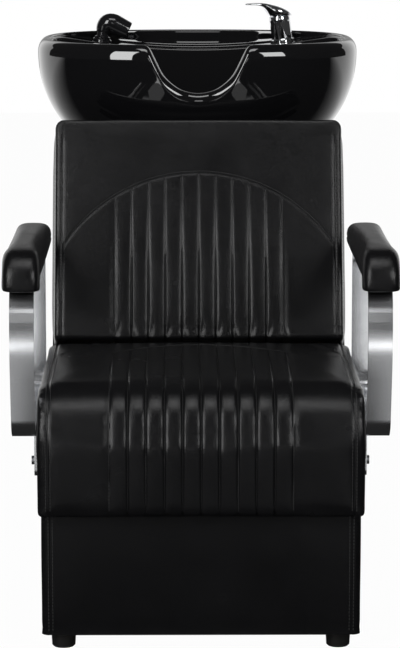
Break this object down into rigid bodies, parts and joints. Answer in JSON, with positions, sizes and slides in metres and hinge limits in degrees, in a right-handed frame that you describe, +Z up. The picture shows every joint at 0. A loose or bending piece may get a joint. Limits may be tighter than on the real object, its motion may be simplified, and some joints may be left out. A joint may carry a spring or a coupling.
{
  "type": "hairdressing sink",
  "caption": "Upholstered salon backwash seat with chrome arm loops and a tilting glazed bowl with a neck notch, lever mixer and hand shower.",
  "frame": {"origin": "on the floor, under the middle of the unit's outline", "axes": "+Z up, +Y from the seat's front to the bowl's back, +X to the right seen from the front"},
  "size_m": [0.622, 1.0888, 0.9657],
  "materials": {
    "plywood": "sanded, unpainted",
    "black_board": "matt black laminate",
    "leather": "fine grain with a soft sheen",
    "foot_plastic": "satin black",
    "chrome": "polished",
    "steel": "zinc plated",
    "rubber": "matt black",
    "ceramic": "glossy black glaze",
    "drain_plastic": "satin light grey",
    "brass": "machined",
    "shower_plastic": "glossy black",
    "face_plastic": "satin dark grey"
  },
  "bodies": {
    "stand": {"side_panel_left": "plywood", "side_panel_right": "plywood", "front_board": "plywood", "base_floor": "plywood", "seat_deck": "plywood", "back_rail_lower": "plywood", "back_rail_upper": "plywood", "bowl_deck": "black_board", "rear_panel": "black_board", "panel_cleats": "plywood", "base_cover": "leather", "wood_screws": "steel", "cushion_bolts": "steel", "tee_nuts": "steel", "seat_board": "plywood", "seat_apron": "plywood", "seat_cushion": "leather", "back_board": "plywood", "back_cushion": "leather", "arm_loop_left": "chrome", "arm_loop_right": "chrome", "arm_pad_left": "leather", "arm_pad_right": "leather", "arm_pad_boards": "plywood", "arm_spacers": "steel", "arm_bolts": "steel", "tilt_base": "steel", "tilt_bolts": "steel", "tilt_nuts": "steel", "pivot_bolts": "steel", "foot_front_left": "foot_plastic", "foot_front_right": "foot_plastic", "foot_rear_left": "foot_plastic", "foot_rear_right": "foot_plastic"},
    "bowl_unit": {"tilt_cradle": "steel", "cradle_pad": "rubber", "bowl": "ceramic", "drain_flange": "chrome", "drain_gasket": "rubber", "drain_nut": "drain_plastic", "drain_tail": "drain_plastic", "tail_nut": "drain_plastic", "tap_gasket": "rubber", "tap_body": "chrome", "tap_shank_nut": "brass", "tap_cartridge": "drain_plastic", "tap_bonnet": "chrome", "shower_holder": "shower_plastic", "shower_holder_nut": "shower_plastic"},
    "strainer": {"hair_strainer": "chrome"},
    "mixer_stem": {"tap_stem": "brass", "lever_pin": "steel"},
    "mixer_handle": {"tap_handle": "chrome"},
    "hand_shower": {"shower_handle": "shower_plastic", "shower_head": "shower_plastic", "shower_face": "face_plastic", "hose_connector": "chrome"}
  },
  "joints": [
    {"name": "bowl_tilt", "type": "hinge", "parent": "stand", "child": "bowl_unit", "pos_m": [0, 0.31, 0.68584], "axis": [1, 0, 0], "range_deg": [-15, 0]},
    {"name": "strainer_lift", "type": "slide", "parent": "bowl_unit", "child": "strainer", "axis": [0, 0, 1], "range_m": [0, 0.06]},
    {"name": "mixer_temperature", "type": "hinge", "parent": "bowl_unit", "child": "mixer_stem", "pos_m": [0.1544, 0.465, 0.93834], "axis": [-0.1333, 0, 0.9911], "range_deg": [-50, 50]},
    {"name": "mixer_flow", "type": "hinge", "parent": "mixer_stem", "child": "mixer_handle", "pos_m": [0.1544, 0.465, 0.93834], "axis": [-0.339, 0.9397, -0.0456], "range_deg": [0, 18]},
    {"name": "shower_lift", "type": "slide", "parent": "bowl_unit", "child": "hand_shower", "axis": [0.1467, 0, 0.9892], "range_m": [0, 0.09]}
  ]
}
